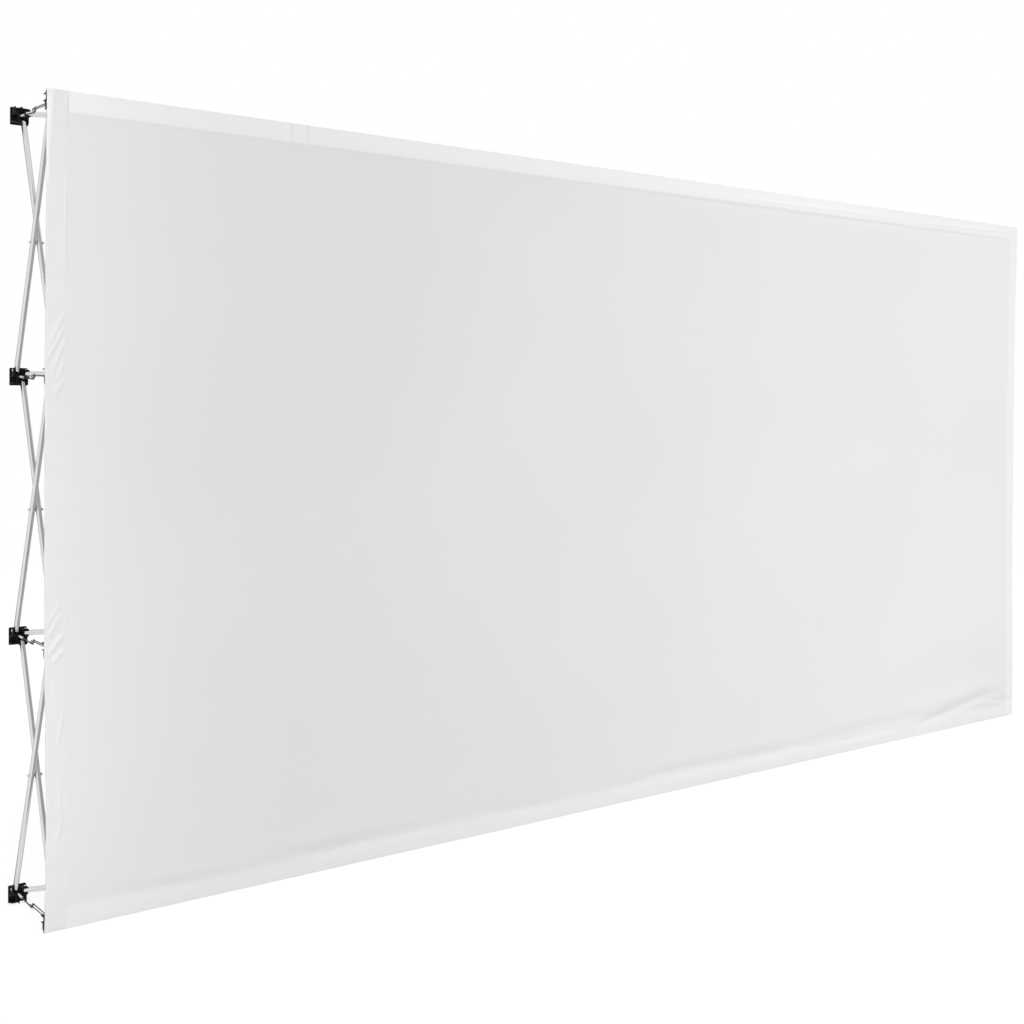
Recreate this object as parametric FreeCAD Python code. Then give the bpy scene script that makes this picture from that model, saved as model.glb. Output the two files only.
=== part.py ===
import FreeCAD, Part
import math
import os

# Banner wall: a scissor lattice of round tubes between square hubs, six bays
# wide and three bays high, with a stretched fabric banner on its front.
# Millimetres. +X runs along the wall, +Y to the rear, +Z up, and the origin is
# under the middle of the whole part, on the floor.

# Lattice
BAYS_WIDE = 6
BAYS_HIGH = 3
HUB_SPACING = 740.0          # hub centre to hub centre, along and up the wall
LATTICE_DEPTH = 265.0        # front pivot plane to rear pivot plane

# Tubes
TUBE_DIAMETER = 15.0
TUBE_WALL = 1.2
TUBE_GAP = 2.0               # clear space between the two tubes of one scissor

# Hubs
HUB_SIZE = 50.0              # square back plate
PLATE_THICKNESS = 4.0
PLATE_CORNER = 3.0           # rounded corner of the back plate
PIVOT_REACH = 18.0           # hub centre to the pin of each tube
SOCKET_WALL = 4.0
BOSS_CHAMFER = 3.0           # outer corners of the four socket bosses
SOCKET_SIDE_GAP = 0.5        # tube side to socket wall
SOCKET_END_GAP = 0.5         # round tube end to the inner end of its socket
SOCKET_FLOOR_GAP = 3.5       # round tube end to the back plate
RIM_HEIGHT = 9.0             # pivot plane to the open rim of the sockets
PIT_SIDE_GAP = 0.75          # bail leg to the side of the square pit at the hub centre
PIT_DEPTH = 6.0              # pivot plane to the floor of the pit
FIT_GAP = 0.05               # radial clearance of every pin in its hole
CUT_OVERRUN = 1.0            # cutting bodies stand this far past the faces they cut

# Tube pins and scissor rivets
PIN_DIAMETER = 4.0
PIN_HEAD_DIAMETER = 7.0
PIN_HEAD_HEIGHT = 1.6
PIN_END_GAP = 0.2            # blind end of a tube pin to the bottom of its hole
RIVET_DIAMETER = 4.0
RIVET_HEAD_DIAMETER = 9.0
RIVET_TIP_DIAMETER = 5.0
RIVET_HEAD_HEIGHT = 5.5
RIVET_SEAT_GAP = 0.1         # tube crown to rivet head, and tube to collar

# Locks: a hooked rod from each rear hub, a wire bail from each front hub
LOCK_SWING_DEG = 50.0        # how far a rod or a bail swings off the lock
LOCK_SWING_SPARE_DEG = 2.0   # room past that swing in the hub
LOCK_PIN_DIAMETER = 3.0      # also the bail's wire, so that one hub takes both
LOCK_PIN_END_GAP = 0.2
ROD_DIAMETER = 4.0
ROD_REACH = 116.0            # rear pivot plane to the post of the rod's hook
ROD_DROP = 8.0               # hub centre down to the rod at its hook
ROD_BEND = 3.0               # bend radius on the rod's centre line
POST_HEIGHT = 9.0
TAIL_LENGTH = 9.0            # thumb tail above the post
TAIL_LEAN_DEG = 45.0
FERRULE_DIAMETER = 6.5
FERRULE_LENGTH = 30.0
FERRULE_EYE = 6.0            # pivot to the end of the rod inside its ferrule
BAIL_SIDE_GAP = 0.75         # bail leg to the post that stands between the legs
BAIL_RISE = 2.5              # hub centre up to the bail's legs at their far end
BAIL_BEND = 2.0
HOOK_GAP = 0.8               # bar of the bail to the rod and to its post

# Banner
BANNER_OVERHANG = 30.0       # outer hub centres to the side and top edges
BANNER_FLOOR_GAP = 1.5
FABRIC_THICKNESS = 0.8
TAPE_WIDTH = 50.0            # loop tape sewn behind the edges
TAPE_THICKNESS = 1.2
PAD_SIZE = 36.0              # square hook pads on the outer front hubs
PAD_THICKNESS = 1.6
PAD_GAP = 0.2                # hook pad to loop tape

# Sizes that follow
tube_radius = TUBE_DIAMETER / 2
pin_radius = PIN_DIAMETER / 2
rivet_radius = RIVET_DIAMETER / 2
lock_pin_radius = LOCK_PIN_DIAMETER / 2
rod_radius = ROD_DIAMETER / 2
ferrule_radius = FERRULE_DIAMETER / 2
bail_leg = rod_radius + BAIL_SIDE_GAP + lock_pin_radius
pit_half = bail_leg + lock_pin_radius + PIT_SIDE_GAP
hub_half = HUB_SIZE / 2
tube_offset = (TUBE_DIAMETER + TUBE_GAP) / 2
socket_half = tube_radius + SOCKET_SIDE_GAP
boss_half = socket_half + SOCKET_WALL
socket_start = PIVOT_REACH - tube_radius - SOCKET_END_GAP
pivot_to_plate = tube_radius + SOCKET_FLOOR_GAP
pivot_to_back = pivot_to_plate + PLATE_THICKNESS
lock_bore = lock_pin_radius + FIT_GAP
lock_pin_end = socket_start - LOCK_PIN_END_GAP
rod_slope_deg = math.degrees(math.atan2(ROD_DROP, ROD_REACH))

tube_run = HUB_SPACING - PIVOT_REACH - PIVOT_REACH
tube_length = math.hypot(tube_run, LATTICE_DEPTH)
tube_slope_deg = math.degrees(math.atan2(LATTICE_DEPTH, tube_run))

banner_stack = PAD_THICKNESS + PAD_GAP + TAPE_THICKNESS + FABRIC_THICKNESS
overall_depth = LATTICE_DEPTH + pivot_to_back + pivot_to_back + banner_stack
rear_plane = overall_depth / 2 - pivot_to_back
front_plane = rear_plane - LATTICE_DEPTH
middle_plane = (front_plane + rear_plane) / 2
wall_half = HUB_SPACING * BAYS_WIDE / 2
columns = [HUB_SPACING * i - wall_half for i in range(BAYS_WIDE + 1)]
levels = [hub_half + HUB_SPACING * j for j in range(BAYS_HIGH + 1)]

X_AXIS = FreeCAD.Vector(1, 0, 0)
Y_AXIS = FreeCAD.Vector(0, 1, 0)
Z_AXIS = FreeCAD.Vector(0, 0, 1)
QUARTER_TURN_DEG = 90.0
HALF_TURN_DEG = 180.0
RIGHT, UP, LEFT, DOWN = range(4)

REAR_FACING = FreeCAD.Rotation()
FRONT_FACING = FreeCAD.Rotation(Z_AXIS, HALF_TURN_DEG)


def vec(x, y, z):
    return FreeCAD.Vector(x, y, z)


def block(x, y, z):
    """A box from its three spans, each a (low, high) pair."""
    size = [high - low for low, high in (x, y, z)]
    return Part.makeBox(*size, vec(x[0], y[0], z[0]))


def rod_between(start, end, radius):
    """A round bar from one point to another."""
    return Part.makeCylinder(radius, start.distanceToPoint(end), start, end - start)


def placed(shape, position, rotation):
    copy = shape.copy()
    copy.Placement = FreeCAD.Placement(position, rotation)
    return copy


def socket_turn(side):
    """Turns what is made for the right-hand socket of a hub to another side."""
    return FreeCAD.Rotation(Y_AXIS, -QUARTER_TURN_DEG * side)


def bent_wire(points, bend, radius):
    """A round wire along straight runs, with an arc of one radius at each corner."""
    edges = []
    start = points[0]
    for before, corner, after in zip(points, points[1:], points[2:]):
        way_in = (corner - before).normalize()
        way_out = (after - corner).normalize()
        half_turn = way_in.getAngle(way_out) / 2
        setback = bend * math.tan(half_turn)
        arc_start = corner - way_in * setback
        arc_end = corner + way_out * setback
        bisector = (way_out - way_in).normalize()
        arc_middle = corner + bisector * (bend / math.cos(half_turn) - bend)
        edges.append(Part.LineSegment(start, arc_start).toShape())
        edges.append(Part.Arc(arc_start, arc_middle, arc_end).toShape())
        start = arc_end
    edges.append(Part.LineSegment(start, points[-1]).toShape())
    path = Part.Wire(edges)
    circle = Part.Circle(points[0], points[1] - points[0], radius).toShape()
    return path.makePipeShell([Part.Wire([circle])], True, False)


# Hub, made for the rear row: its plate is at +Y and its sockets open to -Y

def swing_notch(turn):
    """The wedge that lets a lock arm swing up or down out of the pit."""
    swing = math.radians(rod_slope_deg + LOCK_SWING_DEG + LOCK_SWING_SPARE_DEG)
    reach = ferrule_radius + SOCKET_SIDE_GAP
    rim = RIM_HEIGHT + CUT_OVERRUN
    along_pit = (pit_half - reach * math.cos(swing)) / math.sin(swing)
    along_rim = (rim + reach * math.sin(swing)) / math.cos(swing)
    depth_at_pit = along_pit * math.cos(swing) - reach * math.sin(swing)
    height_at_rim = along_rim * math.sin(swing) + reach * math.cos(swing)
    corners = [
        vec(-pit_half, -depth_at_pit, 0),
        vec(-pit_half, -depth_at_pit, pit_half),
        vec(-pit_half, -rim, height_at_rim),
        vec(-pit_half, -rim, 0),
    ]
    face = Part.Face(Part.makePolygon(corners + corners[:1]))
    wedge = face.extrude(X_AXIS * (pit_half + pit_half))
    wedge.rotate(vec(0, 0, 0), Y_AXIS, turn)
    return wedge


def make_boss():
    """The right-hand boss before its socket is cut, its two outer corners chamfered."""
    low = tube_offset - boss_half
    high = tube_offset + boss_half
    corners = [
        vec(0, -RIM_HEIGHT, low),
        vec(hub_half - BOSS_CHAMFER, -RIM_HEIGHT, low),
        vec(hub_half, -RIM_HEIGHT, low + BOSS_CHAMFER),
        vec(hub_half, -RIM_HEIGHT, high - BOSS_CHAMFER),
        vec(hub_half - BOSS_CHAMFER, -RIM_HEIGHT, high),
        vec(0, -RIM_HEIGHT, high),
    ]
    face = Part.Face(Part.makePolygon(corners + corners[:1]))
    return face.extrude(Y_AXIS * (RIM_HEIGHT + pivot_to_plate))


def make_hub():
    plate = block((-hub_half, hub_half), (pivot_to_plate, pivot_to_back), (-hub_half, hub_half))
    through_edges = [edge for edge in plate.Edges if abs(edge.tangentAt(0).y) == 1]
    hub = plate.makeFillet(PLATE_CORNER, through_edges)
    boss = make_boss()
    cuts = []
    for side in (RIGHT, UP, LEFT, DOWN):
        socket = block(
            (socket_start, hub_half + CUT_OVERRUN),
            (-RIM_HEIGHT - CUT_OVERRUN, pivot_to_plate),
            (tube_offset - socket_half, tube_offset + socket_half),
        )
        pin_hole = rod_between(
            vec(PIVOT_REACH, 0, tube_offset - boss_half),
            vec(PIVOT_REACH, 0, tube_offset + boss_half + CUT_OVERRUN),
            pin_radius + FIT_GAP,
        )
        turn = socket_turn(side)
        hub = hub.fuse(placed(boss, vec(0, 0, 0), turn))
        cuts.append(placed(socket, vec(0, 0, 0), turn))
        cuts.append(placed(pin_hole, vec(0, 0, 0), turn))
    pit = (-pit_half, pit_half)
    cuts.append(block(pit, (-RIM_HEIGHT - CUT_OVERRUN, PIT_DEPTH), pit))
    cuts.append(swing_notch(0))
    cuts.append(swing_notch(HALF_TURN_DEG))
    cuts.append(rod_between(vec(-socket_start, 0, 0), vec(socket_start, 0, 0), lock_bore))
    return hub.removeSplitter().cut(cuts).removeSplitter()


def make_tube_pin():
    """The pin of the right-hand socket: its head sits on the outside of the hub."""
    seat = tube_offset + boss_half
    foot = tube_offset - boss_half + PIN_END_GAP
    shank = rod_between(vec(PIVOT_REACH, 0, foot), vec(PIVOT_REACH, 0, seat), pin_radius)
    head = Part.makeCone(
        PIN_HEAD_DIAMETER / 2, pin_radius, PIN_HEAD_HEIGHT, vec(PIVOT_REACH, 0, seat), Z_AXIS
    )
    return shank.fuse(head).removeSplitter()


# Tube and scissor rivet, made along X with the pins along Z

def make_tube():
    """A round tube whose ends are rounded about their pins, drilled for them and for the rivet."""
    half = tube_length / 2
    low = vec(-half - tube_radius, 0, 0)
    high = vec(half + tube_radius, 0, 0)
    tube = rod_between(low, high, tube_radius).cut(rod_between(low, high, tube_radius - TUBE_WALL))
    outline = block((-half, half), (-tube_radius, tube_radius), (-tube_radius, tube_radius))
    holes = [rod_between(vec(0, 0, -tube_radius), vec(0, 0, tube_radius), rivet_radius + FIT_GAP)]
    for end in (-half, half):
        bottom = vec(end, 0, -tube_radius)
        top = vec(end, 0, tube_radius)
        outline = outline.fuse(rod_between(bottom, top, tube_radius))
        holes.append(rod_between(bottom, top, pin_radius + FIT_GAP))
    return tube.common(outline.removeSplitter()).cut(holes)


def make_rivet():
    """A shouldered rivet: its collar keeps the two tubes of a scissor apart."""
    crown = tube_offset + tube_radius + RIVET_SEAT_GAP
    collar = TUBE_GAP / 2 - RIVET_SEAT_GAP
    rivet = rod_between(vec(0, 0, -crown), vec(0, 0, crown), rivet_radius)
    rivet = rivet.fuse(rod_between(vec(0, 0, -collar), vec(0, 0, collar), RIVET_HEAD_DIAMETER / 2))
    for way in (Z_AXIS, -Z_AXIS):
        head = Part.makeCone(
            RIVET_HEAD_DIAMETER / 2, RIVET_TIP_DIAMETER / 2, RIVET_HEAD_HEIGHT, way * crown, way
        )
        rivet = rivet.fuse(head)
    return rivet.removeSplitter()


# Locks, the rod made for a rear hub and the bail for a front hub

rod_way = vec(0, -ROD_REACH, -ROD_DROP).normalize()


def make_lock_rod():
    """A wire from inside its ferrule to an upturned post and a leaning thumb tail."""
    lean = math.radians(TAIL_LEAN_DEG)
    start = rod_way * FERRULE_EYE
    elbow = vec(0, -ROD_REACH, -ROD_DROP)
    post_top = elbow + Z_AXIS * POST_HEIGHT
    tail_end = post_top + vec(0, -math.sin(lean), math.cos(lean)) * TAIL_LENGTH
    return bent_wire([start, elbow, post_top, tail_end], ROD_BEND, rod_radius)


def make_ferrule():
    """A sleeve on the root of the rod, with a cross-drilled ball for the lock pin."""
    tip = rod_way * FERRULE_LENGTH
    sleeve = rod_between(vec(0, 0, 0), tip, ferrule_radius).fuse(Part.makeSphere(ferrule_radius))
    bore = rod_between(rod_way * FERRULE_EYE, tip, rod_radius + FIT_GAP)
    eye = rod_between(-X_AXIS * ferrule_radius, X_AXIS * ferrule_radius, lock_bore)
    return sleeve.removeSplitter().cut([bore, eye])


def make_lock_pin():
    end = X_AXIS * lock_pin_end
    return rod_between(-end, end, lock_pin_radius)


def make_bail():
    """A wire loop whose ends turn out into the hub, with a dropped bar behind the rod's post."""
    clear_of_rod = rod_radius + HOOK_GAP + lock_pin_radius
    reach = LATTICE_DEPTH - ROD_REACH + clear_of_rod
    one_side = [
        vec(lock_pin_end, 0, 0),
        vec(bail_leg, 0, 0),
        vec(bail_leg, reach, BAIL_RISE),
        vec(bail_leg, reach, clear_of_rod - ROD_DROP),
    ]
    other_side = [vec(-point.x, point.y, point.z) for point in reversed(one_side)]
    return bent_wire(one_side + other_side, BAIL_BEND, lock_pin_radius)


# Sets of like pieces

def hub_centre(column, level, plane):
    return vec(columns[column], plane, levels[level])


def row_of(shape, level, plane, rotation):
    """One copy at every hub of a level."""
    return [placed(shape, hub_centre(i, level, plane), rotation) for i in range(BAYS_WIDE + 1)]


def level_tubes(tube, level, way):
    """The tubes of one slope along a level: way 1 runs to the rear as it goes right."""
    rotation = FreeCAD.Rotation(Z_AXIS, way * tube_slope_deg)
    height = levels[level] - way * tube_offset
    tubes = []
    for left, right in zip(columns, columns[1:]):
        tubes.append(placed(tube, vec((left + right) / 2, middle_plane, height), rotation))
    return tubes


def column_tubes(tube, column, way):
    """The tubes of one slope up a column: way 1 runs to the rear as it goes up."""
    upright = FreeCAD.Rotation(X_AXIS + Z_AXIS, HALF_TURN_DEG)
    rotation = FreeCAD.Rotation(X_AXIS, -way * tube_slope_deg) * upright
    side = columns[column] + way * tube_offset
    tubes = []
    for low, high in zip(levels, levels[1:]):
        tubes.append(placed(tube, vec(side, middle_plane, (low + high) / 2), rotation))
    return tubes


def level_rivets(rivet):
    rivets = []
    for height in levels:
        for left, right in zip(columns, columns[1:]):
            rivets.append(placed(rivet, vec((left + right) / 2, middle_plane, height), REAR_FACING))
    return rivets


def column_rivets(rivet):
    lying = FreeCAD.Rotation(Y_AXIS, QUARTER_TURN_DEG)
    rivets = []
    for side in columns:
        for low, high in zip(levels, levels[1:]):
            rivets.append(placed(rivet, vec(side, middle_plane, (low + high) / 2), lying))
    return rivets


def tube_pins(pin, plane, facing, sides):
    """A pin in every socket of the named sides that holds a tube."""
    pins = []
    for i in range(BAYS_WIDE + 1):
        for j in range(BAYS_HIGH + 1):
            for side in sides:
                turn = facing * socket_turn(side)
                way = turn.multVec(X_AXIS)
                column = i + round(way.x)
                level = j + round(way.z)
                if 0 <= column <= BAYS_WIDE and 0 <= level <= BAYS_HIGH:
                    pins.append(placed(pin, hub_centre(i, j, plane), turn))
    return pins


def hook_pads():
    """A pad on the face of every hub along the edge of the wall."""
    face = front_plane - pivot_to_back
    half = PAD_SIZE / 2
    pad = block((-half, half), (face - PAD_THICKNESS, face), (-half, half))
    pads = []
    for i in range(BAYS_WIDE + 1):
        for j in range(BAYS_HIGH + 1):
            if i in (0, BAYS_WIDE) or j in (0, BAYS_HIGH):
                pads.append(placed(pad, vec(columns[i], 0, levels[j]), REAR_FACING))
    return pads


def save(name, shapes):
    shape = shapes[0] if len(shapes) == 1 else Part.makeCompound(shapes)
    shape.exportStep(os.path.join("parts", name + ".step"))


os.makedirs("parts", exist_ok=True)

hub = make_hub()
tube = make_tube()
tube_pin = make_tube_pin()
rivet = make_rivet()
lock_rod = make_lock_rod()
ferrule = make_ferrule()
lock_pin = make_lock_pin()
bail = make_bail()

for level in range(BAYS_HIGH + 1):
    tag = "_level_" + str(level + 1)
    save("front_hubs" + tag, row_of(hub, level, front_plane, FRONT_FACING))
    save("rear_hubs" + tag, row_of(hub, level, rear_plane, REAR_FACING))
    save("rearward_tubes" + tag, level_tubes(tube, level, 1))
    save("forward_tubes" + tag, level_tubes(tube, level, -1))
    save("lock_rods" + tag, row_of(lock_rod, level, rear_plane, REAR_FACING))
    save("lock_ferrules" + tag, row_of(ferrule, level, rear_plane, REAR_FACING))
    save("lock_bails" + tag, row_of(bail, level, front_plane, REAR_FACING))

for column in range(BAYS_WIDE + 1):
    tag = "_column_" + str(column + 1)
    save("rearward_tubes" + tag, column_tubes(tube, column, 1))
    save("forward_tubes" + tag, column_tubes(tube, column, -1))

save("level_scissor_rivets", level_rivets(rivet))
save("column_scissor_rivets", column_rivets(rivet))
save("front_level_tube_pins", tube_pins(tube_pin, front_plane, FRONT_FACING, (RIGHT, LEFT)))
save("rear_level_tube_pins", tube_pins(tube_pin, rear_plane, REAR_FACING, (RIGHT, LEFT)))
save("front_column_tube_pins", tube_pins(tube_pin, front_plane, FRONT_FACING, (UP, DOWN)))
save("rear_column_tube_pins", tube_pins(tube_pin, rear_plane, REAR_FACING, (UP, DOWN)))
lock_pins = [row_of(lock_pin, level, rear_plane, REAR_FACING) for level in range(BAYS_HIGH + 1)]
save("rear_lock_pins", sum(lock_pins, []))
save("hook_pads", hook_pads())

# Banner: fabric with loop tape behind its edges
fabric_front = front_plane - pivot_to_back - banner_stack
fabric_back = fabric_front + FABRIC_THICKNESS
tape_back = fabric_back + TAPE_THICKNESS
banner_half = wall_half + BANNER_OVERHANG
banner_top = levels[-1] + BANNER_OVERHANG
tape_span = (fabric_back, tape_back)
across = (-banner_half, banner_half)
between = (BANNER_FLOOR_GAP + TAPE_WIDTH, banner_top - TAPE_WIDTH)
save("banner_fabric", [block(across, (fabric_front, fabric_back), (BANNER_FLOOR_GAP, banner_top))])
save("loop_tape_top", [block(across, tape_span, (between[1], banner_top))])
save("loop_tape_bottom", [block(across, tape_span, (BANNER_FLOOR_GAP, between[0]))])
save("loop_tape_left", [block((-banner_half, TAPE_WIDTH - banner_half), tape_span, between)])
save("loop_tape_right", [block((banner_half - TAPE_WIDTH, banner_half), tape_span, between)])
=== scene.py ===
import math

import bmesh
import bpy
import numpy as np
from mathutils import Matrix, Vector


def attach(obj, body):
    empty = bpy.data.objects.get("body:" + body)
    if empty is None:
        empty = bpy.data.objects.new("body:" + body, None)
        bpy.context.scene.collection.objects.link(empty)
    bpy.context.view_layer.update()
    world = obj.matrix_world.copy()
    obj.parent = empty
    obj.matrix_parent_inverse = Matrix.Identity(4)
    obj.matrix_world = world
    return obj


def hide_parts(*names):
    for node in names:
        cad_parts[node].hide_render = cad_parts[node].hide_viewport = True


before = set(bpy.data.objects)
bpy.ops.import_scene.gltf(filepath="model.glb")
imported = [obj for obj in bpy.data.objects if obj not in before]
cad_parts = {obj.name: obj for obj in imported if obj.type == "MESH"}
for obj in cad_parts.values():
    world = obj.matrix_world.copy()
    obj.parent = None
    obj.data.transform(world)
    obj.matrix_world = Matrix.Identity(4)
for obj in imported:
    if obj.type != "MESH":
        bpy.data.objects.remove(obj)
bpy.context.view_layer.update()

# Sizes of the wall, in metres
SPACING = 0.74
COLUMNS = [SPACING * i - 2.22 for i in range(7)]
LEVELS = [0.025 + SPACING * j for j in range(4)]
REAR_PLANE = 0.1344
FRONT_PLANE = -0.1306
MIDDLE_PLANE = (REAR_PLANE + FRONT_PLANE) / 2
TUBE_RADIUS = 0.0075
TUBE_WALL = 0.0012
TUBE_OFFSET = 0.0085
PIVOT_REACH = 0.018
TUBE_RUN = SPACING - 2 * PIVOT_REACH
TUBE_HALF = math.hypot(TUBE_RUN, REAR_PLANE - FRONT_PLANE) / 2
TUBE_SLOPE = math.atan2(REAR_PLANE - FRONT_PLANE, TUBE_RUN)
BAY_MIDDLES = [(a + b) / 2 for a, b in zip(COLUMNS, COLUMNS[1:])]
STOREY_MIDDLES = [(a + b) / 2 for a, b in zip(LEVELS, LEVELS[1:])]

BANNER_HALF = 2.25
BANNER_LOW, BANNER_HIGH = 0.0015, 2.275
FABRIC_FRONT, FABRIC_BACK = -0.1494, -0.1486
TAPE_BACK = -0.1474
TAPE_WIDTH = 0.05
PAD_BACK = -0.1456
PAD_HALF = 0.018

rng = np.random.default_rng(7)


# Mesh code: a shape is an array of points and a list of faces

def merged(shapes):
    points, faces, base = [], [], 0
    for own_points, own_faces in shapes:
        points.append(own_points)
        faces.extend([tuple(base + i for i in face) for face in own_faces])
        base += len(own_points)
    return np.concatenate(points), faces


def moved(shape, matrix):
    m = np.array(matrix)
    return shape[0] @ m[:3, :3].T + m[:3, 3], shape[1]


def repeated(shape, matrices):
    return merged([moved(shape, m) for m in matrices])


def ring_faces(start, count, rings):
    """Quads between rings of count points, one ring after the other."""
    faces = []
    for r in range(rings - 1):
        a, b = start + r * count, start + (r + 1) * count
        for i in range(count):
            j = (i + 1) % count
            faces.append((a + i, a + j, b + j, b + i))
    return faces


def lathe(profile, sides):
    """Turns (radius, height) pairs about Z; the two ends are closed by flat caps."""
    angle = np.arange(sides) * (2 * math.pi / sides)
    circle = np.stack([np.cos(angle), np.sin(angle), np.zeros(sides)], 1)
    points = [circle * r + (0, 0, z) for r, z in profile]
    faces = ring_faces(0, sides, len(profile))
    last = (len(profile) - 1) * sides
    faces.append(tuple(range(sides - 1, -1, -1)))
    faces.append(tuple(range(last, last + sides)))
    return np.concatenate(points), faces


def bent_path(corners, bend, steps=6):
    """Points along straight runs with a round bend at each corner."""
    corners = [Vector(c) for c in corners]
    path = [corners[0]]
    for before, corner, after in zip(corners, corners[1:], corners[2:]):
        way_in = (corner - before).normalized()
        way_out = (after - corner).normalized()
        half_turn = way_in.angle(way_out) / 2
        setback = bend * math.tan(half_turn)
        middle = corner + (way_out - way_in).normalized() * (bend / math.cos(half_turn))
        start = corner - way_in * setback - middle
        finish = corner + way_out * setback - middle
        for k in range(steps + 1):
            path.append(middle + start.normalized().slerp(finish.normalized(), k / steps) * bend)
    return path + [corners[-1]]


def swept(path, radius, sides, end_round=0.3):
    """A round wire along a path, its two ends slightly rounded off."""
    path = [Vector(p) for p in path]
    first = (path[1] - path[0]).normalized()
    last = (path[-1] - path[-2]).normalized()
    inset = radius * end_round
    stations = [(path[0], radius - inset), (path[0] + first * inset, radius)]
    stations += [(p, radius) for p in path[1:-1]]
    stations += [(path[-1] - last * inset, radius), (path[-1], radius - inset)]
    angle = np.arange(sides) * (2 * math.pi / sides)
    side = first.orthogonal().normalized()
    points = []
    for k, (place, r) in enumerate(stations):
        before = stations[max(k - 1, 0)][0]
        after = stations[min(k + 1, len(stations) - 1)][0]
        along = (after - before).normalized()
        side = (side - along * side.dot(along)).normalized()
        other = along.cross(side)
        ring = np.outer(np.cos(angle), side) + np.outer(np.sin(angle), other)
        points.append(ring * r + np.array(place))
    faces = ring_faces(0, sides, len(stations))
    end = (len(stations) - 1) * sides
    faces.append(tuple(range(sides - 1, -1, -1)))
    faces.append(tuple(range(end, end + sides)))
    return np.concatenate(points), faces


def make_object(name, shape, material, smooth_deg=35):
    mesh = bpy.data.meshes.new(name)
    mesh.from_pydata(shape[0].tolist(), [], shape[1])
    mesh.validate()
    mesh.polygons.foreach_set("use_smooth", [True] * len(mesh.polygons))
    mesh.set_sharp_from_angle(angle=math.radians(smooth_deg))
    mesh.materials.append(material)
    made = bpy.data.objects.new(name, mesh)
    bpy.context.scene.collection.objects.link(made)
    return made


def dress(node, shape, material, body, smooth_deg=35):
    """A detailed piece in the place of one node."""
    piece = make_object(node + ".visual", shape, material, smooth_deg)
    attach(piece, body)
    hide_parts(node)
    return piece


# Materials

def new_material(name, **settings):
    material = bpy.data.materials.new(name)
    material.use_nodes = True
    shader = material.node_tree.nodes["Principled BSDF"]
    for key, value in settings.items():
        shader.inputs[key.replace("_", " ").title().replace("Ior", "IOR")].default_value = value
    return material, material.node_tree, shader


def place(tree, scale=(1, 1, 1)):
    coords = tree.nodes.new("ShaderNodeTexCoord")
    mapping = tree.nodes.new("ShaderNodeMapping")
    mapping.inputs["Scale"].default_value = scale
    tree.links.new(coords.outputs["Object"], mapping.inputs["Vector"])
    return mapping.outputs["Vector"]


def noise(tree, where, scale, detail=3.0, roughness=0.5):
    node = tree.nodes.new("ShaderNodeTexNoise")
    node.inputs["Scale"].default_value = scale
    node.inputs["Detail"].default_value = detail
    node.inputs["Roughness"].default_value = roughness
    tree.links.new(where, node.inputs["Vector"])
    return node.outputs["Fac"]


def ramp(tree, value, stops):
    node = tree.nodes.new("ShaderNodeValToRGB")
    node.color_ramp.elements[0].position, node.color_ramp.elements[1].position = stops[0][0], stops[-1][0]
    for element, (_, colour) in zip(node.color_ramp.elements, (stops[0], stops[-1])):
        element.color = (*colour, 1)
    for position, colour in stops[1:-1]:
        node.color_ramp.elements.new(position).color = (*colour, 1)
    tree.links.new(value, node.inputs["Fac"])
    return node.outputs["Color"]


def ranged(tree, value, low, high):
    node = tree.nodes.new("ShaderNodeMapRange")
    node.inputs["To Min"].default_value = low
    node.inputs["To Max"].default_value = high
    tree.links.new(value, node.inputs["Value"])
    return node.outputs["Result"]


def bump(tree, shader, height, strength, distance):
    node = tree.nodes.new("ShaderNodeBump")
    node.inputs["Strength"].default_value = strength
    node.inputs["Distance"].default_value = distance
    tree.links.new(height, node.inputs["Height"])
    tree.links.new(node.outputs["Normal"], shader.inputs["Normal"])


def grey(value):
    return (value, value, value)


def aluminium():
    material, tree, shader = new_material("satin_aluminium", metallic=1.0)
    shader.inputs["Specular Tint"].default_value = (0.02, 0.02, 0.02, 1)
    where = place(tree)
    grain = noise(tree, place(tree, (60, 60, 60)), scale=22.0, detail=2.0)
    patch = noise(tree, where, scale=9.0, detail=4.0)
    tint = ramp(tree, patch, [(0.3, (0.70, 0.70, 0.71)), (0.7, (0.76, 0.76, 0.77))])
    tree.links.new(tint, shader.inputs["Base Color"])
    tree.links.new(ranged(tree, patch, low=0.22, high=0.30), shader.inputs["Roughness"])
    bump(tree, shader, grain, strength=0.06, distance=0.0002)
    return material


def hub_plastic():
    material, tree, shader = new_material("moulded_black", specular_ior_level=0.13)
    where = place(tree)
    grain = noise(tree, where, scale=1600.0, detail=2.0, roughness=0.6)
    patch = noise(tree, where, scale=60.0, detail=4.0)
    tree.links.new(ramp(tree, patch, [(0.3, grey(0.004)), (0.7, grey(0.008))]), shader.inputs["Base Color"])
    tree.links.new(ranged(tree, patch, low=0.38, high=0.55), shader.inputs["Roughness"])
    bump(tree, shader, grain, strength=0.25, distance=0.0002)
    return material


def plain_metal(name, low, high, rough_low, rough_high, edge, metallic=1.0):
    material, tree, shader = new_material(name, metallic=metallic)
    shader.inputs["Specular Tint"].default_value = (*edge, 1)
    where = place(tree)
    patch = noise(tree, where, scale=220.0, detail=4.0)
    scratch = noise(tree, where, scale=2600.0, detail=2.0)
    tree.links.new(ramp(tree, patch, [(0.3, low), (0.7, high)]), shader.inputs["Base Color"])
    tree.links.new(ranged(tree, patch, rough_low, rough_high), shader.inputs["Roughness"])
    bump(tree, shader, scratch, strength=0.08, distance=0.0001)
    return material


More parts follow.
